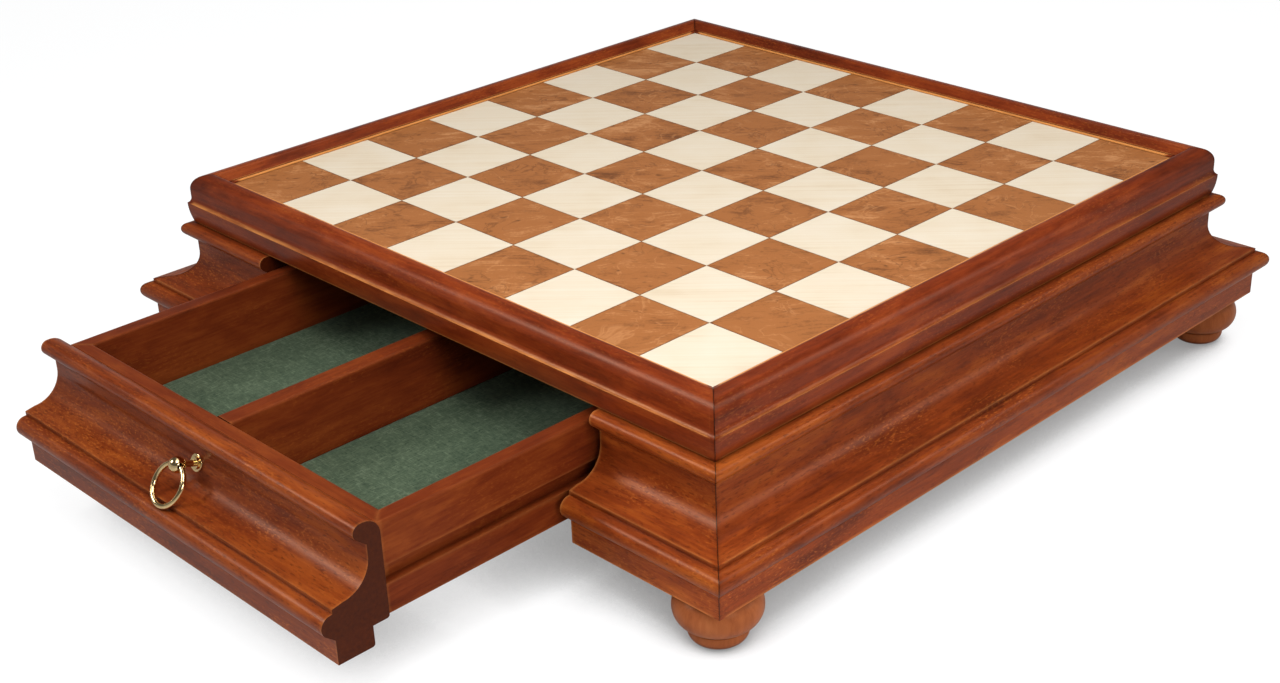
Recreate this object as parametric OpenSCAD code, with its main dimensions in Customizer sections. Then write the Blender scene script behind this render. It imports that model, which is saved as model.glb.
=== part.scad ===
// Chess box with two drawers: an inlaid playing board in a moulded frame, on a moulded case
// with four turned feet. One drawer opens to each player. The front drawer stands part open.
// Millimetres, +Z up. The origin is the middle of the playing surface, on top of the squares.
// The front player sits at -Y. What a side of the case holds is drawn at the back (+Y) and turned
// to its place.

/* [Playing board] */
// Side of one square
square = 50; // [40:1:60]
// Thickness of the veneer squares
veneer_t = 1; // [0.6:0.1:2]
// Width of the glue joint between two squares
joint_w = 0.2; // [0.1:0.05:0.4]
// Thickness of the core under the veneers
core_t = 12; // [9:0.5:14]
// How far the core runs in under the frame lip
core_lap = 6; // [4:0.5:7]

/* [Top frame] */
// Height of the frame rails
frame_h = 30; // [28:0.5:36]
// Width of a rail, from the squares to the frieze face
frame_w = 21; // [20:0.5:26]
// Height of the rim above the squares
rim_h = 6; // [5:0.5:8]
// Radius of the outer rim edge
rim_r = 9; // [6:0.5:10]
// Width of the flat on top of the rim
rim_flat = 1; // [0.5:0.1:2]
// Height of the plain frieze below the ledge
frieze_h = 12.5; // [10:0.5:14]
// Height of the hollow above the ledge
ledge_h = 3.5; // [2:0.5:4]
// Set-back of the rail face above the ledge
ledge_out = 2; // [1:0.5:3]
// How far the rounded frieze runs in towards its lower edge
frieze_in = 2; // [1:0.1:3]
// Width of the small bead beside the squares
lip_w = 2; // [1.5:0.1:2.5]
// Height of the small bead above the squares
lip_h = 1; // [0.6:0.1:1.5]
// Width of the groove between the small bead and the rim
lip_groove = 0.7; // [0.5:0.1:1]

/* [Case moulding] */
// Thickness of the moulding at its neck
neck_t = 8; // [6:0.5:12]
// Set-back of the neck behind the frieze of the top frame
neck_inset = 2; // [1:0.5:4]
// Projection of the plinth beyond the neck
plinth_out = 22; // [19:0.5:28]
// Height of the plinth face
plinth_h = 13.5; // [11:0.5:16]
// Radius of the lower bead
low_bead_r = 5.75; // [4:0.25:6.5]
// Height of the lower bead's centre above the plinth face
low_bead_up = 8.25; // [7:0.25:11]
// Projection of the lower bead's centre beyond the plinth face
low_bead_out = 0.9; // [0:0.1:1.5]
// Height of the quirk above the lower bead
quirk_h = 2.4; // [1.5:0.1:4]
// Radius of the cove
cove_r = 16.5; // [14:0.5:18]
// Rise of the sloping cove floor
cove_rise = 1.1; // [0.5:0.1:2]
// Height of the plain neck between the cove and the slope under the upper bead
neck_h = 7.1; // [4:0.1:16]
// Radius of the upper bead
top_bead_r = 4.2; // [3:0.1:5]
// Projection of the upper bead's centre beyond the neck
top_bead_out = 2.4; // [1:0.2:4]
// Height of the slope under the upper bead, from the bead's centre down
top_bead_drop = 7.6; // [6:0.1:10]
// Step between the upper bead and the top frame
shadow_step = 0.6; // [0.3:0.1:1]
// Open gap of a glued mitre
mitre_gap = 0.1; // [0.05:0.05:0.3]

/* [Carcass] */
// Thickness of the carcass walls behind the mouldings
wall_t = 10; // [8:0.5:14]
// Thickness of the two walls that guide the drawers
guide_t = 10; // [8:0.5:14]
// Thickness of the base panel
base_t = 10; // [9:0.5:11]
// Thickness of the plinth in front of the base panel's edge
plinth_skin = 8.5; // [6:0.5:12]
// Thickness of the divider between the drawer bays
divider_t = 10; // [8:0.5:14]
// Thickness of the cross rails that carry the core
rail_t = 12; // [10:0.5:16]

/* [Feet] */
// Height of the feet
foot_h = 30; // [24:0.5:34]
// Largest radius of a foot
foot_r = 22.6; // [19:0.2:24]
// Radius of the small disc that the foot stands on
foot_base_r = 15.4; // [12:0.1:17]
// Height of the small disc
foot_base_h = 9; // [7:0.1:11]
// Radius of the disc's rounded lower edge
foot_edge_r = 6; // [4:0.1:7]
// Radius of the disc's upper edge
foot_rim_r = 1.5; // [0.5:0.1:3]
// How far the two discs of a foot run into each other
foot_lap = 0.4; // [0.2:0.1:1]
// Distance of a foot's axis behind the plinth faces
foot_inset = 22; // [20:0.5:30]
// Radius of the turned spigot
spigot_r = 6; // [4:0.5:8]
// Length of the turned spigot
spigot_l = 9; // [6:0.5:9]
// Radial gap of the glued spigot
glue_gap = 0.1; // [0.05:0.05:0.2]

/* [Drawers] */
// How far the front drawer stands open
front_open = 140; // [0:5:150]
// Full travel of a drawer
travel = 160; // [150:5:165]
// Outer width of a drawer box
box_w = 272; // [240:2:290]
// Depth of a drawer box's upper edge below the top frame
box_drop = 7.5; // [7:0.5:12]
// Thickness of the box sides
side_t = 10; // [9:0.5:12]
// Thickness of the box front
front_t = 9; // [7:0.5:12]
// Thickness of the box back
back_t = 9; // [7:0.5:12]
// Radius of the eased upper edges of the box and the partition
board_ease = 1.2; // [0.5:0.1:2]
// Thickness of the partition
partition_t = 12; // [8:0.5:14]
// Thickness of the drawer bottom
bottom_t = 4; // [3:0.5:5]
// Height of the drawer bottom above the lower edge of the box
bottom_up = 5.2; // [4:0.1:6]
// Depth of the groove that holds the drawer bottom
bottom_groove = 4; // [2.5:0.5:4]
// Thickness of the felt
felt_t = 1; // [0.8:0.1:2]
// Margin of the felt inside its compartment
felt_margin = 0.3; // [0.2:0.1:1]
// Overlap of the moulded front beyond each box side
front_lap = 2.5; // [1.5:0.5:5]
// Thickness of the moulded front below the box
apron_t = 20.5; // [15:0.5:22]
// Radius of the rounded back edge of the moulded front
crest_r = 9; // [6:0.5:9]
// Radius of the eased lower back edges of the moulded front
eased_r = 1.6; // [0.5:0.1:2.5]
// How much lower the front's bead sits than the case bead
bead_lower = 1; // [0.6:0.1:1.5]

/* [Drawer running fits] */
// Gap between a moulded front and each jamb
jamb_gap = 2; // [1:0.5:3]
// Gap between a box side and its guide wall
slide_gap = 1; // [0.5:0.1:2]
// Gap between the box and the base panel
lift_gap = 1; // [0.5:0.1:1.5]
// Gap left at the shut and the open stop
stop_gap = 0.3; // [0.2:0.1:0.6]
// Gap between the back of a shut drawer and the divider
back_gap = 3; // [1:0.5:6]
// Gap between the box and the cross rail above it
kick_gap = 2; // [1:0.5:3]
// Height of a runner
runner_h = 9; // [7:0.5:12]
// Height of the runner above the lower edge of the box
runner_up = 16.1; // [12:0.1:20]
// Depth of the runner groove in a box side
groove_d = 5; // [4:0.5:6]
// Gap round a runner in its groove
runner_gap = 0.35; // [0.2:0.05:0.6]
// Set-back of a runner behind the wall's front edge
runner_back = 5; // [3:1:15]
// Width of the stop block on the box back
stop_w = 40; // [20:2:60]
// Height of the stop block
stop_h = 6; // [5:0.5:8]

/* [Ring pull] */
// Upward tilt of the pull's axis
pull_tilt = 18; // [10:1:25]
// Distance of the ball's centre from the cove
pull_reach = 11.5; // [10:0.5:13]
// Radius of the ball
ball_r = 4.3; // [3.8:0.1:4.6]
// Radius of the cross hole in the ball
eye_r = 2.25; // [2.1:0.05:2.4]
// Radius of the stem
stem_r = 1.7; // [1.3:0.1:2]
// Radius of the rosette
rosette_r = 4.8; // [4:0.1:6]
// Thickness of the rosette at its middle
rosette_t = 2.1; // [1.6:0.1:3]
// Length of the shank in the wood
shank_l = 9; // [6:0.5:12]
// Radius of the shank
shank_r = 1.4; // [1:0.1:1.6]
// Radial gap round the shank and the stem
shank_gap = 0.05; // [0.02:0.01:0.1]
// Radius of the ring, to the middle of its wire
ring_r = 11; // [10:0.2:12]
// Radius of the ring wire
wire_r = 1.4; // [1:0.1:1.5]
// Gap between the resting ring and the moulding
ring_gap = 0.3; // [0.2:0.05:0.5]

/* [Hidden] */

mahogany = "#7b3a1d";
mahogany_dark = "#5f2b17";
maple = "#efe3c8";
burl = "#a9714a";
plywood = "#b98a5c";
felt_green = "#2f5c47";
brass = "#cfa75a";

BACK = 0;
LEFT = 1;
FRONT = 2;
RIGHT = 3;
squares = 8;
curve_steps = 12;
low_bead_a = -60;
top_bead_a = -50;
rim_slope_a = 140;
far = 400;

// Heights, from the top of the squares
core_top = -veneer_t;
core_z = core_top - core_t;
rim_z = rim_h;
frame_z = rim_z - frame_h;
top_bead_z = frame_z - shadow_step - top_bead_r;
cove_z = top_bead_z - top_bead_drop - neck_h;
quirk_z = cove_z - cove_r - cove_rise;
low_bead_z = quirk_z - quirk_h - low_bead_r;
base_z = low_bead_z - low_bead_up - plinth_h;
base_top = base_z + base_t;
floor_z = base_z - foot_h;
box_z = base_top + lift_gap;
box_top = frame_z - box_drop;
bottom_z = box_z + bottom_up;
bottom_top = bottom_z + bottom_t;
runner_z = box_z + runner_up;

// Distances outwards from the middle of the case
board_d = squares * square / 2;
core_d = board_d + core_lap;
frieze_d = board_d + frame_w;
neck_d = frieze_d - neck_inset;
land_d = frieze_d - frieze_in - shadow_step;
wall_d = neck_d - neck_t;
plinth_d = neck_d + plinth_out;
base_d = plinth_d - plinth_skin;
foot_d = plinth_d - foot_inset;
apron_d = plinth_d - apron_t;

// Moulding centres
low_bead_c = [plinth_d + low_bead_out, low_bead_z];
cove_c = [neck_d + cove_r, cove_z];
top_bead_c = [neck_d + top_bead_out, top_bead_z];

// Drawers, drawn shut and facing +Y
box_x = box_w / 2;
box_in_x = box_x - side_t;
front_x = box_x + front_lap;
jamb_x = front_x + jamb_gap;
guide_x = box_x + slide_gap;
box_back_y = divider_t / 2 + back_gap;
compartment_y0 = box_back_y + back_t;
compartment_y1 = wall_d - front_t;
guide_end = wall_d - stop_gap;
rail_y = compartment_y0 + travel + stop_gap;

// Ring pull: the seat on the cove, the ball, and the angle at which the ring comes to rest
seat = cove_c - cove_r * [cos(pull_tilt), sin(pull_tilt)];
ball = seat + pull_reach * [cos(pull_tilt), sin(pull_tilt)];
eye_play = ball_r * ball_r / (4 * ring_r);
ring_drop = ring_r - eye_play;
ring_reach = ring_drop + ring_r;
ring_clear = wire_r + ring_gap;
to_bead = low_bead_c - ball;
to_lip = [plinth_d, quirk_z] - ball;
bead_span = low_bead_r + ring_clear;
bead_angle = atan2(to_bead.x, -to_bead.y)
    + acos((ring_reach ^ 2 + norm(to_bead) ^ 2 - bead_span ^ 2) / (2 * ring_reach * norm(to_bead)));
lip_angle = atan2(to_lip.x, -to_lip.y) + asin(ring_clear / norm(to_lip));
ring_angle = max(bead_angle, lip_angle);

function arc(c, r, a0, a1) =
    [for (k = [0 : curve_steps]) let (a = a0 + (a1 - a0) * k / curve_steps) c + r * [cos(a), sin(a)]];

// Radius of an arc that starts upright and runs out by dx over a height of dz
function bow_r(dx, dz) = (dx ^ 2 + dz ^ 2) / (2 * dx);

// The moulding's face from the foot of the plinth up to the top of the upper bead
function moulding_face(bead_c) = concat(
    [[plinth_d, base_z], [plinth_d, base_z + plinth_h]],
    arc(low_bead_c, low_bead_r, low_bead_a, 90),
    [[plinth_d, quirk_z - quirk_h], [plinth_d, quirk_z]],
    arc(cove_c, cove_r, 270, 180),
    [[neck_d, bead_c.y - top_bead_drop]],
    arc(bead_c, top_bead_r, top_bead_a, 90)
);

module case_profile() {
    polygon(concat(
        [[base_d, base_top], [base_d, base_z]],
        moulding_face(top_bead_c),
        [[land_d, frame_z - shadow_step], [land_d, frame_z], [wall_d, frame_z], [wall_d, base_top]]
    ));
}

module drawer_profile() {
    bead_c = top_bead_c - [0, bead_lower];
    top = bead_c.y + top_bead_r;
    polygon(concat(
        [[apron_d, box_z]],
        arc([apron_d + eased_r, base_z + eased_r], eased_r, 180, 270),
        moulding_face(bead_c),
        arc([wall_d + crest_r, top - crest_r], crest_r, 90, 180),
        arc([wall_d + eased_r, box_z + eased_r], eased_r, 180, 270)
    ));
}

module frame_profile() {
    groove_x = board_d + lip_w;
    face_d = frieze_d - ledge_out;
    slope_r = rim_h / 2;
    ledge_z = frame_z + frieze_h;
    frieze_r = bow_r(frieze_in, frieze_h);
    ledge_r = bow_r(ledge_out, ledge_h);
    polygon(concat(
        [[core_d, core_top], [core_d, frame_z]],
        arc([frieze_d - frieze_r, ledge_z], frieze_r, -asin(frieze_h / frieze_r), 0),
        arc([face_d + ledge_r, ledge_z + ledge_h], ledge_r, 180 + asin(ledge_h / ledge_r), 180),
        arc([face_d - rim_r, rim_z - rim_r], rim_r, 0, 90),
        arc([face_d - rim_r - rim_flat, rim_z - slope_r], slope_r, 90, rim_slope_a),
        [[groove_x + lip_groove, lip_h], [groove_x + lip_groove, 0], [groove_x, 0],
         [groove_x, lip_h / 2], [groove_x - lip_h / 2, lip_h], [board_d + lip_h / 2, lip_h],
         [board_d, lip_h / 2], [board_d, core_top]]
    ));
}

// Turns a piece of the back side to the given side of the case
module on_side(side) {
    rotate([0, 0, 90 * side])
        children();
}

// Extrudes a profile of (distance outwards, height) along the back side, from x0 to x1
module run(x0, x1) {
    translate([x0, 0, 0])
        rotate([90, 0, 90])
            linear_extrude(height = x1 - x0)
                children();
}

// A run along the whole back side, mitred at both ends
module mitred_run() {
    intersection() {
        run(-far, far) children();
        translate([0, mitre_gap / sqrt(2), 0])
            linear_extrude(height = far, center = true)
                polygon([[0, 0], [far, far], [-far, far]]);
    }
}

// Draws a piece on the local +X or -X side
module handed(hand) {
    mirror([hand < 0 ? 1 : 0, 0, 0])
        children();
}

// A block between two corners
module block(low, high) {
    translate(low)
        cube(high - low);
}

// Every second square; the near right-hand square of each player is a light one, an odd one
module tile_outlines(odd) {
    first = square / 2 - board_d;
    for (i = [0 : squares - 1], j = [0 : squares - 1])
        if ((i + j) % 2 == odd)
            translate([first + i * square, first + j * square])
                square(square - joint_w, center = true);
}

module tiles(odd) {
    translate([0, 0, core_top])
        linear_extrude(height = veneer_t)
            tile_outlines(odd);
}

module light_squares() {
    color(maple) tiles(1);
}

module dark_squares() {
    color(burl) tiles(0);
}

module core_panel() {
    color(plywood)
        block([-core_d, -core_d, core_z], [core_d, core_d, core_top]);
}

module frame_rail(side) {
    color(mahogany)
        on_side(side) mitred_run() frame_profile();
}

module case_moulding(side) {
    color(mahogany)
        on_side(side) mitred_run() case_profile();
}

// The short moulding between a drawer opening and a corner; hand is 1 towards local +X
module jamb_moulding(side, hand) {
    color(mahogany)
        on_side(side)
            intersection() {
                mitred_run() case_profile();
                handed(hand)
                    block([jamb_x, 0, -far], [far, far, far]);
            }
}

module side_wall(side) {
    color(mahogany_dark)
        on_side(side)
            block([-wall_d, wall_d - wall_t, base_top], [wall_d, wall_d, frame_z]);
}

module end_wall(side, hand) {
    color(mahogany_dark)
        on_side(side)
            handed(hand)
                block([guide_x + guide_t, wall_d - wall_t, base_top], [wall_d - wall_t, wall_d, frame_z]);
}

// What fits between the base and the underside of the frame and the core, from front to back
module inner_outline() {
    polygon([[-guide_end, base_top], [guide_end, base_top], [guide_end, frame_z], [core_d, frame_z],
             [core_d, core_z], [-core_d, core_z], [-core_d, frame_z], [-guide_end, frame_z]]);
}

module guide_wall(hand) {
    color(mahogany_dark)
        handed(hand)
            run(guide_x, guide_x + guide_t) inner_outline();
}

module centre_divider() {
    color(mahogany_dark)
        block([-guide_x, -divider_t / 2, base_top], [guide_x, divider_t / 2, core_z]);
}

// Carries the core, keeps the open drawer level and meets its stop block
module cross_rail(side) {
    color(mahogany_dark)
        on_side(side)
            intersection() {
                run(-guide_x, guide_x) inner_outline();
                block([-guide_x, rail_y, box_top + kick_gap], [guide_x, rail_y + rail_t, core_z]);
            }
}

module runner(side, hand) {
    color(mahogany_dark)
        on_side(side)
            handed(hand)
                block([box_x - groove_d + runner_gap, divider_t / 2, runner_z],
                      [guide_x, guide_end - runner_back, runner_z + runner_h]);
}

module base_panel() {
    notch_d = apron_d - lift_gap;
    color(plywood)
        translate([0, 0, base_z])
            linear_extrude(height = base_t)
                difference() {
                    square(2 * base_d, center = true);
                    for (hand = [-1, 1]) {
                        translate([0, hand * (notch_d + far / 2)])
                            square([2 * jamb_x, far], center = true);
                        for (end = [-1, 1])
                            translate([hand * foot_d, end * foot_d])
                                circle(r = spigot_r + glue_gap, $fn = 64);
                    }
                }
}

// Half a section of the small disc under a foot
module foot_disc() {
    polygon(concat(
        [[0, 0]],
        arc([foot_base_r - foot_edge_r, foot_edge_r], foot_edge_r, 270, 360),
        arc([foot_base_r - foot_rim_r, foot_base_h - foot_rim_r], foot_rim_r, 0, 90),
        [[0, foot_base_h]]
    ));
}

module foot(x_hand, y_hand) {
    bun_r = (foot_h - foot_base_h + foot_lap) / 2;
    color(mahogany)
        translate([x_hand * foot_d, y_hand * foot_d, floor_z])
            rotate_extrude($fn = 96)
                intersection() {
                    square([far, far]);
                    union() {
                        translate([foot_r - bun_r, foot_h - bun_r])
                            circle(r = bun_r, $fn = 64);
                        translate([0, foot_h - 2 * bun_r])
                            square([foot_r - bun_r, 2 * bun_r]);
                        foot_disc();
                        square([spigot_r, foot_h + spigot_l]);
                    }
                }
}

// Puts a piece of a shut drawer that faces +Y into its place: side is FRONT or BACK
module in_drawer(side) {
    translate([0, side == FRONT ? -front_open : 0, 0])
        on_side(side)
            children();
}

// Local hand of the drawer side that is on the left, seen from the front of the case
function left_hand(side) = side == FRONT ? 1 : -1;

module pull_axis() {
    translate([0, seat.x, seat.y])
        rotate([pull_tilt - 90, 0, 0])
            children();
}

module drawer_moulding(side) {
    color(mahogany)
        in_drawer(side)
            difference() {
                run(-front_x, front_x) drawer_profile();
                pull_axis()
                    translate([0, 0, -shank_l])
                        cylinder(r = shank_r + shank_gap, h = 2 * shank_l, $fn = 32);
            }
}

// A board's section, its upper edges eased
module board_section(d0, d1, low_z) {
    polygon(concat(
        [[d0, low_z], [d1, low_z]],
        arc([d1 - board_ease, box_top - board_ease], board_ease, 0, 90),
        arc([d0 + board_ease, box_top - board_ease], board_ease, 90, 180)
    ));
}

// A board of the box on one of its sides, from d0 to d1 outwards: mitred to its outline from above,
// less the grooves for the bottom and the runners
module box_board(side, turn, d0, d1, outline) {
    color(mahogany_dark)
        in_drawer(side)
            difference() {
                intersection() {
                    on_side(turn) run(-far, far) board_section(d0, d1, box_z);
                    linear_extrude(height = far, center = true)
                        polygon(outline);
                }
                bottom_blank();
                for (hand = [-1, 1])
                    translate([hand * (box_x + far / 2 - groove_d), wall_d / 2,
                               runner_z + runner_h / 2])
                        cube([far, far, runner_h + 2 * runner_gap], center = true);
            }
}

module bottom_blank() {
    block([-box_in_x - bottom_groove, compartment_y0 - bottom_groove, bottom_z],
          [box_in_x + bottom_groove, compartment_y1 + bottom_groove, bottom_top]);
}

module drawer_front(side) {
    box_board(side, BACK, compartment_y1, wall_d,
              [[-box_x, wall_d], [box_x, wall_d],
               [box_in_x, compartment_y1], [-box_in_x, compartment_y1]]);
}

module drawer_back(side) {
    box_board(side, BACK, box_back_y, compartment_y0,
              [[-box_x, box_back_y], [box_x, box_back_y],
               [box_in_x, compartment_y0], [-box_in_x, compartment_y0]]);
}

module drawer_side(side, hand) {
    box_board(side, hand > 0 ? RIGHT : LEFT, box_in_x, box_x,
              [[hand * box_x, wall_d], [hand * box_in_x, compartment_y1],
               [hand * box_in_x, compartment_y0], [hand * box_x, box_back_y]]);
}

module drawer_partition(side) {
    color(mahogany_dark)
        in_drawer(side)
            on_side(LEFT)
                run(compartment_y0, compartment_y1)
                    board_section(-partition_t / 2, partition_t / 2, bottom_top);
}

module drawer_bottom(side) {
    color(plywood)
        in_drawer(side) bottom_blank();
}

module drawer_felt(side) {
    color(felt_green)
        in_drawer(side)
            for (hand = [-1, 1])
                handed(hand)
                    block([partition_t / 2 + felt_margin, compartment_y0 + felt_margin, bottom_top],
                          [box_in_x - felt_margin, compartment_y1 - felt_margin, bottom_top + felt_t]);
}

module drawer_stop(side) {
    color(mahogany_dark)
        in_drawer(side)
            block([-stop_w / 2, box_back_y, box_top], [stop_w / 2, compartment_y0, box_top + stop_h]);
}

// Half a section of the rosette, from its stem hole outwards: a rounded rim below a raised collar
module rosette_section(w) {
    rim_t = rosette_t / 2;
    edge_r = rim_t / 2;
    translate([0, -rosette_t])
        square([w, rosette_t + rim_t - edge_r]);
    square([w - edge_r, rim_t]);
    translate([w - edge_r, rim_t - edge_r])
        circle(r = edge_r, $fn = 32);
    square([w / 2, rosette_t]);
}

// The rosette's back is hollowed to sit on the cove
module drawer_rosette(side) {
    color(brass)
        in_drawer(side)
            intersection() {
                pull_axis()
                    rotate_extrude($fn = 64)
                        translate([stem_r + shank_gap, 0])
                            rosette_section(rosette_r - stem_r - shank_gap);
                rotate([0, 90, 0])
                    translate([-cove_c.y, cove_c.x, -far / 2])
                        cylinder(r = cove_r - shank_gap, h = far, $fn = 128);
            }
}

module drawer_knob(side) {
    color(brass)
        in_drawer(side)
            pull_axis()
                difference() {
                    union() {
                        translate([0, 0, pull_reach])
                            sphere(r = ball_r, $fn = 64);
                        cylinder(r = stem_r, h = pull_reach, $fn = 48);
                        translate([0, 0, -shank_l])
                            cylinder(r = shank_r, h = 2 * shank_l, $fn = 48);
                    }
                    translate([0, 0, pull_reach])
                        rotate([0, 90, 0])
                            cylinder(r = eye_r, h = 4 * ball_r, center = true, $fn = 48);
                }
}

module drawer_ring(side) {
    color(brass)
        in_drawer(side)
            translate([0, ball.x, ball.y])
                rotate([ring_angle, 0, 0])
                    translate([0, 0, -ring_drop])
                        rotate([90, 0, 0])
                            rotate_extrude($fn = 96)
                                translate([ring_r, 0])
                                    circle(r = wire_r, $fn = 32);
}

light_squares();
dark_squares();
core_panel();
frame_rail(FRONT);  // frame_front
frame_rail(BACK);  // frame_back
frame_rail(LEFT);  // frame_left
frame_rail(RIGHT);  // frame_right
case_moulding(LEFT);  // case_moulding_left
case_moulding(RIGHT);  // case_moulding_right
jamb_moulding(FRONT, 1);  // front_moulding_left
jamb_moulding(FRONT, -1);  // front_moulding_right
jamb_moulding(BACK, -1);  // back_moulding_left
jamb_moulding(BACK, 1);  // back_moulding_right
side_wall(LEFT);  // side_wall_left
side_wall(RIGHT);  // side_wall_right
end_wall(FRONT, 1);  // front_wall_left
end_wall(FRONT, -1);  // front_wall_right
end_wall(BACK, -1);  // back_wall_left
end_wall(BACK, 1);  // back_wall_right
guide_wall(-1);  // guide_wall_left
guide_wall(1);  // guide_wall_right
centre_divider();
cross_rail(FRONT);  // cross_rail_front
cross_rail(BACK);  // cross_rail_back
runner(FRONT, 1);  // runner_front_left
runner(FRONT, -1);  // runner_front_right
runner(BACK, -1);  // runner_back_left
runner(BACK, 1);  // runner_back_right
base_panel();
foot(-1, -1);  // foot_front_left
foot(1, -1);  // foot_front_right
foot(-1, 1);  // foot_back_left
foot(1, 1);  // foot_back_right
drawer_moulding(FRONT);  // front_drawer_moulding
drawer_front(FRONT);  // front_drawer_front
drawer_side(FRONT, left_hand(FRONT));  // front_drawer_side_left
drawer_side(FRONT, -left_hand(FRONT));  // front_drawer_side_right
drawer_back(FRONT);  // front_drawer_back
drawer_partition(FRONT);  // front_drawer_partition
drawer_bottom(FRONT);  // front_drawer_bottom
drawer_felt(FRONT);  // front_drawer_felt
drawer_stop(FRONT);  // front_drawer_stop
drawer_rosette(FRONT);  // front_drawer_rosette
drawer_knob(FRONT);  // front_drawer_knob
drawer_ring(FRONT);  // front_drawer_ring
drawer_moulding(BACK);  // back_drawer_moulding
drawer_front(BACK);  // back_drawer_front
drawer_side(BACK, left_hand(BACK));  // back_drawer_side_left
drawer_side(BACK, -left_hand(BACK));  // back_drawer_side_right
drawer_back(BACK);  // back_drawer_back
drawer_partition(BACK);  // back_drawer_partition
drawer_bottom(BACK);  // back_drawer_bottom
drawer_felt(BACK);  // back_drawer_felt
drawer_stop(BACK);  // back_drawer_stop
drawer_rosette(BACK);  // back_drawer_rosette
drawer_knob(BACK);  // back_drawer_knob
drawer_ring(BACK);  // back_drawer_ring
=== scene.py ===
"""Chess box with drawers: looks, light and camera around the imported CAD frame. Lengths are in metres."""

import math
import random

import bmesh
import bpy
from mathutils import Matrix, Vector, noise


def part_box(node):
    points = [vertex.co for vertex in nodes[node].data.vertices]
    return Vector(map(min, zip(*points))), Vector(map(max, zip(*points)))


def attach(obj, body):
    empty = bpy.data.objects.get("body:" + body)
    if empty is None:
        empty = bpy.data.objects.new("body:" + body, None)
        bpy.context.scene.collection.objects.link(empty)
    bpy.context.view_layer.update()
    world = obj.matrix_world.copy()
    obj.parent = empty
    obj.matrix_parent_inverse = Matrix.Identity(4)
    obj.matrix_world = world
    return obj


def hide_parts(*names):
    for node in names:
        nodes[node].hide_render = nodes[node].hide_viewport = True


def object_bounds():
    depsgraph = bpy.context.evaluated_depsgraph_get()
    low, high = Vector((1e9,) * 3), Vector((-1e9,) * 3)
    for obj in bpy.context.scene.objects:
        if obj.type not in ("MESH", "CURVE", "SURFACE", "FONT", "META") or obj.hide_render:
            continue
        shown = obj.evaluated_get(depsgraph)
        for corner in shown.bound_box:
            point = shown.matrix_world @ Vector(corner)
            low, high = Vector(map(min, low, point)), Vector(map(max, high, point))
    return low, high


MM = 0.001

# Camera, solved from the board's grid; its turn is in degrees, lens and sensor in mm, its centre in pixels
CAMERA_PLACE = (0.7381, -0.7529, 0.4050)
CAMERA_TURN = (63.752, 1.474, 44.470)
CAMERA_LENS = 52.40
CAMERA_CLIP = 0.02
SENSOR_WIDTH = 36.0
FRAME_WIDTH = 1280
PRINCIPAL_X = 683.4

# Colours are linear; those of woods, veneers and felt have a dark, a middle and a light tone
MAHOGANY = ((0.095, 0.0135, 0.0040), (0.255, 0.0430, 0.0075), (0.450, 0.1050, 0.0150))
RIM_WOOD = ((0.0816, 0.0106, 0.0038), (0.2256, 0.0326, 0.0072), (0.384, 0.073, 0.0134))
FRONT_WOOD = ((0.0705, 0.0099, 0.0033), (0.2021, 0.0329, 0.0061), (0.376, 0.0818, 0.0122))
BOX_WOOD = ((0.0748, 0.0106, 0.004), (0.1778, 0.0295, 0.007), (0.2816, 0.0607, 0.0123))
INNER_WOOD = ((0.065, 0.0140, 0.0050), (0.150, 0.038, 0.0110), (0.230, 0.068, 0.0200))
PLYWOOD = ((0.26, 0.14, 0.07), (0.38, 0.22, 0.12), (0.50, 0.32, 0.18))
GLUE_FACE = ((0.035, 0.016, 0.008), (0.060, 0.028, 0.014), (0.090, 0.045, 0.022))
FOOT_WOOD = ((0.262, 0.068, 0.022), (0.420, 0.120, 0.040), (0.510, 0.165, 0.057))
BURL = ((0.21, 0.072, 0.022), (0.43, 0.156, 0.045), (0.62, 0.275, 0.105))
MAPLE = ((0.76, 0.60, 0.405), (0.86, 0.730, 0.550), (0.89, 0.78, 0.62))
FELT = ((0.055, 0.100, 0.052), (0.145, 0.215, 0.120), (0.330, 0.430, 0.270))
FELT_SHEEN = (0.55, 0.75, 0.6)
BRASS = (0.90, 0.66, 0.33)
# Painted highlight on crests and ledges, partly stain rubbed thin on the edges
CREST_WEAR_AND_HIGHLIGHT = (0.80, 0.32, 0.085)
WARM_GLOSS = (1.0, 0.58, 0.36)
RAY_FLECK = (0.54, 0.145, 0.024)

# Wood
CREST_REACH = 2.5 * MM  # how deep a crest is looked for
CORNER_SHADE_REACH = 5 * MM  # how far the painted shade in a corner reaches, partly stain gathered there
JOINT_REACH = 5 * MM  # scale of the dark line at a mitre
MITRE_REACH = 6 * MM  # scale of the gap between a mitre and the crests painted light
LEDGE_DEPTH = 12 * MM  # of the ledges painted lighter as if lit from above, at least, under the frame's top
PLINTH_HEIGHT = 43.5 * MM  # of the plinth's top, over the floor
PORE_DEPTH = 0.05 * MM
WOOD_GLOSS = 0.24
GRAIN_TURN = {"x": (0, 0, 0), "y": (0, 0, math.pi / 2), "z": (0, math.pi / 2, 0)}
AXES = {"x": (1, 0, 0), "y": (0, 1, 0), "z": (0, 0, 1)}

# Veneer
LEAF_TURN = -0.75  # of its grain on the board, in radians
LEAF_SHIFT = (7, 9, 3)  # the furthest that a square's piece of the leaf lies from another's
BURL_RIM = 0.85  # strength of the dark line round a square
MAPLE_RIM = 0.10

# Felt
FELT_ROOM = 0.4 * MM  # beside the partition
FELT_CELL = 1.6 * MM  # of its mesh
FELT_SWELL = (0.10 * MM, 38)  # height, and waves to the metre
FELT_NAP = (0.05 * MM, 700)
FELT_ROLL = 0.25 * MM  # how far its edges are pressed down
FELT_THICKNESS = 0.85  # share of the CAD solid's
FELT_BUMP = 0.25 * MM

# Meshes: vertices this near are joined, and edges sharper than this angle in degrees stay sharp
WELD_REACH = 0.002 * MM
SHARP_ANGLE = 28
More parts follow.
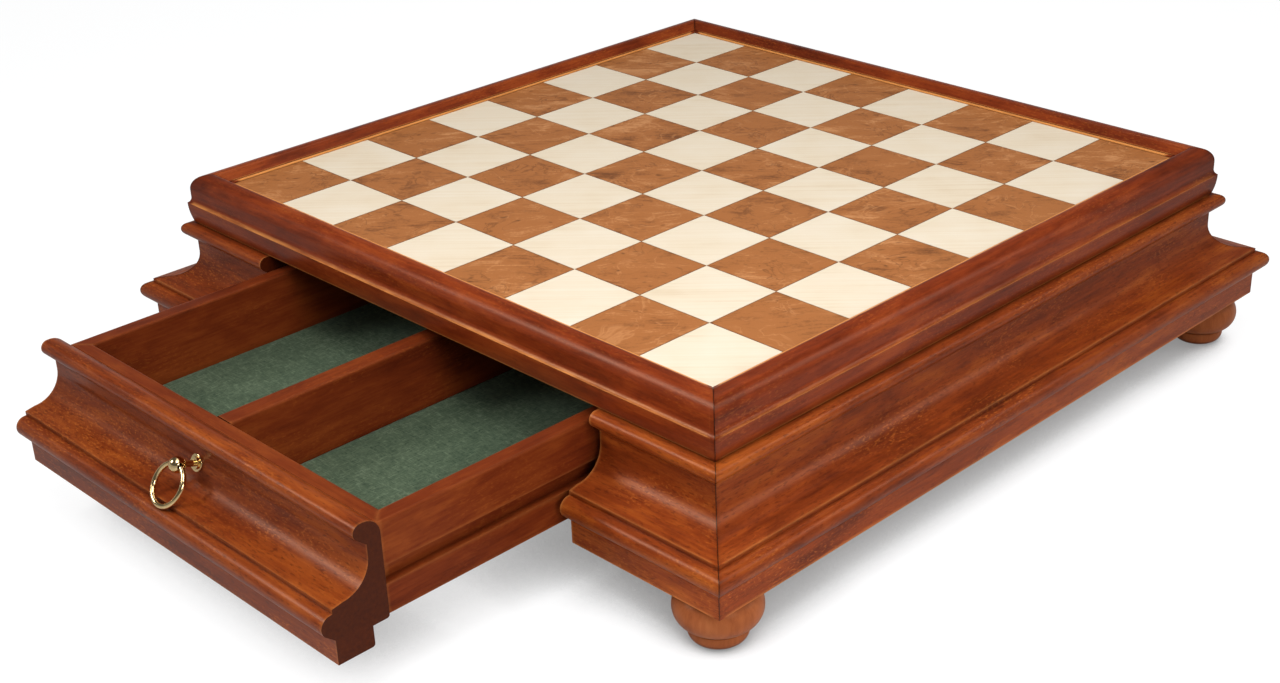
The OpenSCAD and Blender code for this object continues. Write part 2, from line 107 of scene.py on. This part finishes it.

# Floor: its colour to the camera, to diffuse rays and in reflections, and the glow that leaves a painted
# contact shadow where ambient occlusion dims it near the object
FLOOR_SIZE = 12
FLOOR_SEEN = (0.25, 0.255, 0.26)
FLOOR_LIT = (0.68, 0.68, 0.68)
FLOOR_MIRRORED = (0.60, 0.60, 0.60)
SHADOW_REACH = 66 * MM
SHADOW_LIFT = ((0.29, 0.24), (0.42, 0.56), (0.54, 0.87))

# World: strength to diffuse rays and to the camera, and by the height of the direction in reflections
DOME_LEVEL = 0.275
BACKDROP_LEVEL = 1.0
STUDIO = {"From Min": 0.02, "From Max": 0.30, "To Min": 0.58, "To Max": 0.10}

CAMERA_RAYS = ("Is Camera Ray",)
MIRROR_RAYS = ("Is Glossy Ray", "Is Transmission Ray")

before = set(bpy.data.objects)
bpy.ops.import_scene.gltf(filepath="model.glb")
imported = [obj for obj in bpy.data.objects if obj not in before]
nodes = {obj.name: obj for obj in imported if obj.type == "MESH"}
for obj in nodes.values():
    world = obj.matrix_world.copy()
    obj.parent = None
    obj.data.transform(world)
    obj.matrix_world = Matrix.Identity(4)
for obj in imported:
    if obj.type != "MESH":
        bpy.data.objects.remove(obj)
cad_low, cad_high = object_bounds()
floor_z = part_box("foot_front_left")[0].z
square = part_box("frame_right")[0].x / 4
plinth_top = floor_z + PLINTH_HEIGHT
ledge_top = cad_high.z - LEDGE_DEPTH
near_corner = (cad_high.x, -cad_high.x, -0.04)
middle_point = (0, 0, -0.05)

# Name, place, width and height, watts, the point that it faces, and its spread in degrees
LAMPS = (
    ("key", (0.45, -0.45, 1.10), (0.6, 0.6), 6.95, middle_point, 180),
    ("top", (-0.05, 0.25, 1.20), (0.9, 0.9), 3.6, middle_point, 180),
    ("left", (-0.78, -1.12, 0.85), (0.50, 0.50), 0.72, near_corner, 44),
    ("right", (1.15, -0.45, 0.50), (0.5, 0.4), 0.68, near_corner, 70),
    ("rear right", (1.08, 0.70, 0.58), (0.55, 0.45), 0.20, near_corner, 40),
)


def shade(colour, factor):
    """A colour made darker."""
    return tuple(factor * c for c in colour)


class Tree:
    """A material's node tree with short calls for adding and joining nodes."""

    def __init__(self, name):
        self.material = bpy.data.materials.new(name)
        self.material.use_nodes = True
        self.tree = self.material.node_tree
        self.bsdf = self.tree.nodes["Principled BSDF"]

    def link(self, source, socket):
        if isinstance(source, bpy.types.NodeSocket):
            self.tree.links.new(source, socket)
        else:
            socket.default_value = source

    def node(self, kind, inputs=None, **settings):
        made = self.tree.nodes.new("ShaderNode" + kind)
        for key, value in settings.items():
            setattr(made, key, value)
        for key, value in (inputs or {}).items():
            self.link(value, made.inputs[key])
        return made

    def math(self, operation, a, b=0.0, clamp=False):
        made = self.node("Math", {0: a, 1: b}, operation=operation, use_clamp=clamp)
        return made.outputs[0]

    def add(self, a, b):
        return self.math("ADD", a, b)

    def times(self, a, b):
        return self.math("MULTIPLY", a, b)

    def line(self, value, factor, offset):
        """The value times a factor, plus an offset."""
        return self.add(self.times(value, factor), offset)

    def weighted(self, *parts):
        """The sum of some values, each times its share."""
        total = self.times(*parts[0])
        for value, share in parts[1:]:
            total = self.add(total, self.times(value, share))
        return total

    def vector(self, operation, a, b=(0, 0, 0)):
        return self.node("VectorMath", {0: a, 1: b}, operation=operation).outputs[0]

    def split(self, vector):
        return self.node("SeparateXYZ", {0: vector}).outputs

    def noise(self, where, scale, detail, rough, warp=0.0):
        made = self.node("TexNoise", {"Vector": where, "Scale": scale, "Detail": detail,
                                      "Roughness": rough, "Distortion": warp})
        return made.outputs["Fac"]

    def stretched(self, where, along, across):
        return self.node("Mapping", {"Vector": where, "Scale": (along, across, across)}).outputs[0]

    def streaks(self, where, along, across, detail, rough, warp=0.0):
        """Noise with its own scale along X and across it."""
        return self.noise(self.stretched(where, along, across), 1.0, detail, rough, warp)

    def ramp(self, value, *stops):
        """A colour ramp; each stop is (position, linear colour or grey)."""
        made = self.node("ValToRGB", {"Fac": value})
        elements = made.color_ramp.elements
        while len(elements) < len(stops):
            elements.new(0.5)
        for element, (position, colour) in zip(elements, stops):
            element.position = position
            element.color = (*colour, 1) if isinstance(colour, tuple) else (colour,) * 3 + (1,)
        return made.outputs["Color"]

    def mix(self, share, a, b, blend="MIX"):
        made = self.node("Mix", data_type="RGBA", blend_type=blend)
        for socket, value in zip((made.inputs[0], made.inputs[6], made.inputs[7]), (share, a, b)):
            self.link((*value, 1) if isinstance(value, tuple) else value, socket)
        return made.outputs[2]

    def openness(self, reach, samples=8, inside=False, only_local=False):
        """Ambient occlusion: 1 where nothing is within reach of the surface and 0 where it is shut in.
        Looking inside the solid it is low on a crest."""
        made = self.node("AmbientOcclusion", {"Distance": reach}, samples=samples, inside=inside,
                         only_local=only_local)
        return made.outputs["AO"]

    def bump(self, height, strength, depth):
        return self.node("Bump", {"Height": height, "Strength": strength, "Distance": depth}).outputs["Normal"]

    def finish(self, **sockets):
        """Set or join the shader's sockets; a name has _ for each space."""
        for key, value in sockets.items():
            self.link(value, self.bsdf.inputs[key.replace("_", " ")])
        return self.material


def grain_space(t, where, grain, seed):
    """Object coordinates turned so that the grain runs along X, moved to a place of their own in the tree."""
    rng = random.Random(seed)
    place = tuple(rng.uniform(-4, 4) for _ in range(3))
    turned = t.node("Mapping", {"Vector": where, "Rotation": GRAIN_TURN[grain]}, vector_type="TEXTURE")
    tilt = tuple(rng.uniform(-0.02, 0.02) for _ in range(3))
    return t.node("Mapping", {"Vector": turned.outputs[0], "Location": place, "Rotation": tilt}).outputs[0]


def top_light_mask(t, where, place, height, top_light):
    """Where a face that looks up, below a height, is painted lighter as if lit from above, in broken streaks.
    """
    low = t.math("LESS_THAN", t.split(place["Object"])[2], height)
    facing_up = t.ramp(t.split(place["Normal"])[2], (0.45, 0.0), (0.85, top_light))
    broken = t.ramp(t.streaks(where, 26, 320, 3, 0.6), (0.42, 0.35), (0.57, 1.0))
    return t.times(facing_up, t.times(low, broken))


def end_grain(t, where, place, grain, colour, dark, mid):
    """Darker colour on the faces across the grain."""
    facing = t.node("VectorMath", {0: place["Normal"], 1: AXES[grain]}, operation="DOT_PRODUCT")
    end = t.ramp(t.math("ABSOLUTE", facing.outputs["Value"]), (0.86, 0.0), (0.96, 1.0))
    speckle = t.ramp(t.noise(where, 500, 3, 0.6), (0.30, shade(dark, 0.62)), (0.70, shade(mid, 0.36)))
    return t.mix(end, colour, speckle)


def wood(name, tones, grain, seed, gloss=1.0, flecks=1.0, ends=True, mitred=False, crests=0.0,
         shelf=None, plinth=1.0):
    """Stained, lacquered wood: soft figure, grain lines, pores, bright ray flecks and dark end grain, with
    painted shade in the corners (partly stain gathered there), crests painted light as highlights (partly stain
    rubbed thin) and a shelf (its height and strength) below which faces that look up are painted lighter as if
    lit from above. Below plinth_top the colour is multiplied by plinth, painted light bounced up from the
    floor."""
    t = Tree(name)
    place = t.node("TexCoord").outputs
    where = grain_space(t, place["Object"], grain, seed)
    dark, mid, light = tones

    figure = t.streaks(where, 6, 24, 3, 0.5, 0.4)
    mottle = t.streaks(where, 30, 110, 4, 0.6, 0.5)
    lines = t.streaks(where, 28, 640, 3, 0.55, 0.1)
    tone = t.weighted((figure, 0.42), (mottle, 0.36), (lines, 0.22))
    colour = t.ramp(tone, (0.34, dark), (0.50, mid), (0.66, light))
    pores = t.ramp(t.streaks(where, 240, 1150, 2, 0.5), (0.57, 0.0), (0.67, 1.0))
    colour = t.mix(t.times(pores, 0.50 * flecks), colour, shade(dark, 0.8))
    patches = t.ramp(t.streaks(where, 14, 38, 2, 0.5), (0.46, 0.12), (0.60, 1.0))
    rays = t.ramp(t.streaks(where, 400, 1050, 2, 0.6), (0.54, 0.0), (0.68, 1.0))
    colour = t.mix(t.times(t.times(rays, patches), 0.52 * flecks), colour, RAY_FLECK)

    if mitred:
        across, along, _ = t.split(t.vector("ABSOLUTE", place["Object"]))
        from_mitre = t.math("ABSOLUTE", t.math("SUBTRACT", across, along))
    # Painted highlight along the crests, partly stain rubbed thin there; a shelf adds faces that look up,
    # painted lighter as if lit from above
    if crests:
        rubbed_and_lit = t.ramp(t.openness(CREST_REACH, inside=True, only_local=True), (0.50, 1.0), (0.88, 0.0))
        if shelf:
            rubbed_and_lit = t.math("MAXIMUM", rubbed_and_lit, top_light_mask(t, where, place, *shelf))
        wear_and_light = t.times(t.line(mottle, 0.7, 0.50), crests)
        rubbed_and_lit = t.math("MULTIPLY", rubbed_and_lit, wear_and_light, clamp=True)
        if mitred:
            apart = t.ramp(t.math("DIVIDE", from_mitre, MITRE_REACH), (0.46, 0.0), (0.9, 1.0))
            rubbed_and_lit = t.times(rubbed_and_lit, apart)
        colour = t.mix(rubbed_and_lit, colour, CREST_WEAR_AND_HIGHLIGHT)
    # Painted shade in corners and creases, partly stain gathered there
    corner_shade = t.ramp(t.openness(CORNER_SHADE_REACH), (0.20, 1.0), (0.85, 0.0))
    colour = t.mix(t.times(corner_shade, 0.60), colour, shade(dark, 0.42))
    if mitred:
        joint = t.ramp(t.math("DIVIDE", from_mitre, JOINT_REACH), (0.03, 1.0), (0.09, 0.22), (0.60, 0.0))
        colour = t.mix(t.times(joint, 0.92), colour, shade(dark, 0.25))
    if ends:
        colour = end_grain(t, where, place, grain, colour, dark, mid)
    # Painted light: lighter below the plinth's top, standing in for light bounced up from the floor
    if plinth != 1.0:
        below = t.math("LESS_THAN", t.split(place["Object"])[2], plinth_top)
        colour = t.mix(below, colour, (plinth,) * 3, blend="MULTIPLY")

    height = t.weighted((pores, -1.0), (lines, 0.5))
    return t.finish(Base_Color=colour, Roughness=t.line(mottle, 0.12, 0.25),
                    Normal=t.bump(height, 0.20, PORE_DEPTH),
                    Specular_IOR_Level=WOOD_GLOSS * gloss, Specular_Tint=(*WARM_GLOSS, 1))


def burl_colour(t, turned, luck):
    """Burl: clouds and short grain on bent paths, dark and light veins, and groups of small eyes.
    Each square's luck sets the strength of its figure."""
    dark, mid, light = BURL
    drift = t.node("TexNoise", {"Vector": turned, "Scale": 26, "Detail": 2}).outputs["Color"]
    bent = t.vector("ADD", turned, t.vector("MULTIPLY", drift, (0.034, 0.020, 0.0)))
    cloud = t.streaks(bent, 34, 62, 4, 0.6)
    grain = t.streaks(bent, 90, 560, 3, 0.6)
    grit = t.noise(turned, 620, 3, 0.6)
    figure = t.weighted((cloud, 0.66), (grain, 0.34))
    tone = t.line(t.add(figure, -0.5), t.line(luck, 0.7, 0.75), 0.5)
    tone = t.add(tone, t.times(t.add(grit, -0.5), 0.20))
    tone = t.add(tone, t.times(luck, 0.05))
    colour = t.ramp(tone, (0.34, dark), (0.49, mid), (0.57, mid), (0.70, light))
    for seed, scale, vein_colour, share in ((3.1, 52, dark, 0.65), (7.7, 40, light, 0.50)):
        path = t.noise(t.vector("ADD", bent, (seed, seed, 0.0)), scale, 3, 0.6, 0.8)
        ridge = t.math("ABSOLUTE", t.add(path, -0.5))
        region = t.noise(t.vector("ADD", turned, (0.0, seed, 0.0)), 30, 2, 0.5)
        vein = t.times(t.ramp(ridge, (0.004, share), (0.022, 0.0)), t.ramp(region, (0.48, 0.0), (0.60, 1.0)))
        colour = t.mix(vein, colour, vein_colour)
    cells = t.node("TexVoronoi", {"Vector": t.stretched(bent, 110, 190), "Scale": 1.0})
    eyes = t.ramp(cells.outputs["Distance"], (0.08, 0.8), (0.24, 0.0))
    knots = t.ramp(t.noise(turned, 34, 2, 0.5), (0.50, 0.0), (0.60, 1.0))
    return t.mix(t.times(eyes, knots), colour, shade(dark, 0.7))


def maple_colour(t, turned):
    """Maple: fine straight streaks and soft clouds."""
    dark, mid, light = MAPLE
    streaks = t.streaks(turned, 10, 420, 3, 0.5, 0.3)
    cloud = t.noise(turned, 30, 3, 0.5)
    tone = t.weighted((streaks, 0.5), (cloud, 0.5))
    return t.ramp(tone, (0.22, dark), (0.45, mid), (0.64, light))


def veneer(name, burl):
    """Veneer squares: each is cut from another part of the leaf, and has a fine dark line round it."""
    t = Tree(name)
    where = t.node("TexCoord").outputs["Object"]
    # One cell to a square, all on one level
    cells = t.node("Mapping", {"Vector": where, "Location": (20, 20, 0.5),
                               "Scale": (1 / square, 1 / square, 0.0)}).outputs[0]
    chance = t.node("TexWhiteNoise", {"Vector": t.vector("FLOOR", cells)}, noise_dimensions="3D").outputs
    moved = t.vector("ADD", where, t.vector("MULTIPLY", chance["Color"], LEAF_SHIFT))
    turned = t.node("VectorRotate", {"Vector": moved, "Angle": LEAF_TURN}, rotation_type="Z_AXIS").outputs[0]
    colour = burl_colour(t, turned, chance["Value"]) if burl else maple_colour(t, turned)
    inside = t.split(t.vector("FRACTION", cells))
    off_centre = [t.math("ABSOLUTE", t.add(inside[i], -0.5)) for i in (0, 1)]
    rim = t.ramp(t.math("MAXIMUM", *off_centre), (0.486, 0.0), (0.497, BURL_RIM if burl else MAPLE_RIM))
    colour = t.mix(rim, colour, shade(BURL[0], 0.5))
    return t.finish(Base_Color=colour, Roughness=0.42, Specular_IOR_Level=0.12,
                    Coat_Weight=0.10, Coat_Roughness=0.25)


def felt_material():
    t = Tree("felt")
    dark, mid, light = FELT
    where = t.node("TexCoord").outputs["Object"]
    cloud = t.noise(where, 40, 3, 0.5)
    tufts = t.noise(where, 420, 3, 0.6, 0.8)
    fibres = t.streaks(where, 180, 1050, 3, 0.7, 0.8)
    cross = t.streaks(where, 1050, 180, 3, 0.7, 0.8)
    mat = t.math("MAXIMUM", fibres, cross)
    tone = t.weighted((mat, 0.62), (tufts, 0.24), (cloud, 0.14))
    colour = t.ramp(tone, (0.41, dark), (0.53, mid), (0.67, light))
    return t.finish(Base_Color=colour, Roughness=0.95, Normal=t.bump(mat, 0.6, FELT_BUMP),
                    Sheen_Weight=0.5, Sheen_Roughness=0.5, Sheen_Tint=(*FELT_SHEEN, 1))


def brass_material():
    t = Tree("pull_brass")
    tarnish = t.noise(t.node("TexCoord").outputs["Object"], 260, 3, 0.6)
    colour = t.ramp(tarnish, (0.30, shade(BRASS, 0.78)), (0.62, BRASS))
    return t.finish(Base_Color=colour, Roughness=t.line(tarnish, 0.10, 0.06), Metallic=1.0)


def node_axis(name):
    """The axis along which a piece's wood grain runs: upwards in a turned foot, else its longest side."""
    if name.startswith("foot"):
        return "z"
    low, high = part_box(name)
    size = high - low
    return "xyz"[max(range(3), key=lambda i: size[i])]


def dress(names, material):
    for name in names:
        nodes[name].data.materials.clear()
        nodes[name].data.materials.append(material)


def dress_wood():
    """Give each wooden piece a material of its own, cut from its own place in the tree."""
    # crests sets the painted highlight on the crests, partly stain rubbed thin there
    rim = {"mitred": True, "crests": 1.1, "flecks": 0.55}
    groups = (
        # shelf is the height and strength of the painted top light on the ledges; the front rail's ledge is
        # painted brighter
        (("frame_front",), RIM_WOOD, {**rim, "shelf": (ledge_top, 0.85)}),
        (("frame_",), RIM_WOOD, {**rim, "shelf": (ledge_top, 0.26)}),
        # plinth lifts the colour below the plinth's top: painted bounce light from the floor
        (("case_moulding", "front_moulding", "back_moulding"), MAHOGANY,
         {"mitred": True, "crests": 0.38, "plinth": 1.28}),
        (("front_drawer_moulding", "back_drawer_moulding"), FRONT_WOOD, {"crests": 0.20, "plinth": 1.10}),
        (("foot_",), FOOT_WOOD, {"flecks": 0.2, "gloss": 0.7}),
        (("front_drawer_bottom", "back_drawer_bottom", "base_panel"), PLYWOOD,
         {"gloss": 0.0, "flecks": 0.5, "ends": False}),
        (("core_panel",), GLUE_FACE, {"gloss": 0.0, "ends": False}),
        (("front_drawer_", "back_drawer_"), BOX_WOOD, {"gloss": 0.5, "crests": 0.12, "flecks": 0.35}),
        (("",), INNER_WOOD, {"gloss": 0.1}),
    )
    for seed, name in enumerate(sorted(nodes)):
        if name.endswith(("_squares", "_felt", "_rosette", "_knob", "_ring")):
            continue
        tones, finish = next(rest for starts, *rest in groups if name.startswith(starts))
        dress([name], wood(name, tones, node_axis(name), seed, **finish))


def smooth_group():
    """Geometry nodes that shade smooth up to a limiting angle between faces."""
    group = bpy.data.node_groups.new("smooth_by_angle", "GeometryNodeTree")
    for way in ("INPUT", "OUTPUT"):
        group.interface.new_socket("Geometry", in_out=way, socket_type="NodeSocketGeometry")
    new, link = group.nodes.new, group.links.new
    start, end = new("NodeGroupInput"), new("NodeGroupOutput")
    faces, edges = new("GeometryNodeSetShadeSmooth"), new("GeometryNodeSetShadeSmooth")
    edges.domain = "EDGE"
    edges.inputs["Shade Smooth"].default_value = False
    compare = new("FunctionNodeCompare")
    compare.operation = "GREATER_THAN"
    compare.inputs[1].default_value = math.radians(SHARP_ANGLE)
    link(start.outputs[0], faces.inputs["Geometry"])
    link(faces.outputs[0], edges.inputs["Geometry"])
    link(new("GeometryNodeInputMeshEdgeAngle").outputs["Unsigned Angle"], compare.inputs[0])
    link(compare.outputs[0], edges.inputs["Selection"])
    link(edges.outputs[0], end.inputs[0])
    return group


def smooth_pieces(names):
    """Join the vertices that the CAD mesh keeps apart, and shade smooth by angle."""
    group = smooth_group()
    for name in names:
        weld = nodes[name].modifiers.new("weld", "WELD")
        weld.merge_threshold = WELD_REACH
        smooth = nodes[name].modifiers.new("smooth", "NODES")
        smooth.node_group = group


def uneven(x, y, layer, height, rate):
    """A smooth random height at a point of the felt."""
    return height * noise.noise(Vector((x, y, layer)) * rate)


def felt_sheet(drawer, hand, material):
    """One piece of felt, cut to its compartment and glued down, a little uneven."""
    low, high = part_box(f"{drawer}_felt")
    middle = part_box(f"{drawer}_partition")
    if hand > 0:
        side, x0, x1 = "right", middle[1].x + FELT_ROOM, high.x
    else:
        side, x0, x1 = "left", low.x, middle[0].x - FELT_ROOM
    nx, ny = round((x1 - x0) / FELT_CELL), round((high.y - low.y) / FELT_CELL)
    mesh = bpy.data.meshes.new(f"{drawer}_felt_{side}")
    made = bmesh.new()
    rows = []
    for j in range(ny + 1):
        row = []
        for i in range(nx + 1):
            x, y = x0 + (x1 - x0) * i / nx, low.y + (high.y - low.y) * j / ny
            swell = uneven(x, y, hand, *FELT_SWELL)
            nap = uneven(x, y, 3 + hand, *FELT_NAP)
            roll = FELT_ROLL if min(i, nx - i, j, ny - j) == 0 else 0.0
            row.append(made.verts.new((x, y, high.z + swell + nap - roll)))
        rows.append(row)
    for j in range(ny):
        for i in range(nx):
            made.faces.new((rows[j][i], rows[j][i + 1], rows[j + 1][i + 1], rows[j + 1][i]))
    bmesh.ops.solidify(made, geom=list(made.faces), thickness=FELT_THICKNESS * (high.z - low.z))
    bmesh.ops.recalc_face_normals(made, faces=made.faces)
    made.to_mesh(mesh)
    made.free()
    for face in mesh.polygons:
        face.use_smooth = True
    mesh.materials.append(material)
    piece = bpy.data.objects.new(mesh.name, mesh)
    bpy.context.scene.collection.objects.link(piece)
    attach(piece, drawer)
    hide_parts(f"{drawer}_felt")


def lamp(name, place, size, power, aim, spread):
    """A soft box; a spread under 180 degrees puts a grid before it."""
    data = bpy.data.lights.new(name, "AREA")
    data.shape = "RECTANGLE"
    data.size, data.size_y = size
    data.energy = power
    data.spread = math.radians(spread)
    made = bpy.data.objects.new(name, data)
    made.location = place
    made.rotation_euler = (Vector(aim) - Vector(place)).to_track_quat("-Z", "Y").to_euler()
    bpy.context.scene.collection.objects.link(made)


def seen_mask(tree, rays):
    """1 where one of these rays looks straight at the surface or the sky."""
    path = tree.nodes.new("ShaderNodeLightPath")
    total = path.outputs[rays[0]]
    for ray in rays[1:]:
        add = tree.nodes.new("ShaderNodeMath")
        add.operation = "MAXIMUM"
        tree.links.new(total, add.inputs[0])
        tree.links.new(path.outputs[ray], add.inputs[1])
        total = add.outputs[0]
    return total


def build_world():
    """A white backdrop to the eye, an even soft dome for the diffuse light, and a studio that is
    white round the horizon and dim above it in reflections."""
    world = bpy.data.worlds.new("studio")
    bpy.context.scene.world = world
    world.use_nodes = True
    tree = world.node_tree
    new, link = tree.nodes.new, tree.links.new
    split = new("ShaderNodeSeparateXYZ")
    link(new("ShaderNodeTexCoord").outputs["Generated"], split.inputs[0])
    studio = new("ShaderNodeMapRange")
    link(split.outputs["Z"], studio.inputs["Value"])
    for key, value in STUDIO.items():
        studio.inputs[key].default_value = value
    mirror = new("ShaderNodeMix")
    mirror.data_type = "FLOAT"
    mirror.inputs[2].default_value = DOME_LEVEL
    link(seen_mask(tree, MIRROR_RAYS), mirror.inputs[0])
    link(studio.outputs[0], mirror.inputs[3])
    seen = new("ShaderNodeMix")
    seen.data_type = "FLOAT"
    seen.inputs[3].default_value = BACKDROP_LEVEL
    link(seen_mask(tree, CAMERA_RAYS), seen.inputs[0])
    link(mirror.outputs[0], seen.inputs[2])
    background = tree.nodes["Background"]
    background.inputs["Color"].default_value = (1, 1, 1, 1)
    link(seen.outputs[0], background.inputs["Strength"])


def build_floor():
    bpy.ops.mesh.primitive_plane_add(size=FLOOR_SIZE, location=(0, 0, floor_z))
    floor = bpy.context.object
    floor.name = "floor"
    t = Tree("floor")
    shown = seen_mask(t.tree, CAMERA_RAYS)
    # Painted contact shadow: the glow the camera sees is dimmed where ambient occlusion is low
    lift = t.times(t.ramp(t.openness(SHADOW_REACH, samples=16), *SHADOW_LIFT), shown)
    colour = t.mix(shown, FLOOR_LIT, FLOOR_SEEN)
    colour = t.mix(seen_mask(t.tree, MIRROR_RAYS), colour, FLOOR_MIRRORED)
    floor.data.materials.append(t.finish(
        Base_Color=colour, Roughness=1.0, Specular_IOR_Level=0.0,
        Emission_Color=(1, 1, 1, 1), Emission_Strength=lift))


def build_camera():
    data = bpy.data.cameras.new("camera")
    data.lens = CAMERA_LENS
    data.sensor_width = SENSOR_WIDTH
    data.shift_x = (FRAME_WIDTH / 2 - PRINCIPAL_X) / FRAME_WIDTH
    data.clip_start = CAMERA_CLIP
    camera = bpy.data.objects.new("camera", data)
    camera.location = CAMERA_PLACE
    camera.rotation_euler = [math.radians(a) for a in CAMERA_TURN]
    bpy.context.scene.collection.objects.link(camera)
    bpy.context.scene.camera = camera


build_camera()
build_world()
build_floor()
for entry in LAMPS:
    lamp(*entry)

dress_wood()
dress(["light_squares"], veneer("light_veneer", burl=False))
dress(["dark_squares"], veneer("dark_veneer", burl=True))
brass = brass_material()
felt = felt_material()
for drawer in ("front_drawer", "back_drawer"):
    dress([f"{drawer}_{part}" for part in ("rosette", "knob", "ring")], brass)
    for hand in (-1, 1):
        felt_sheet(drawer, hand, felt)
smooth_pieces([name for name in nodes if not name.endswith("_felt")])

bpy.context.scene.view_settings.view_transform = "Standard"
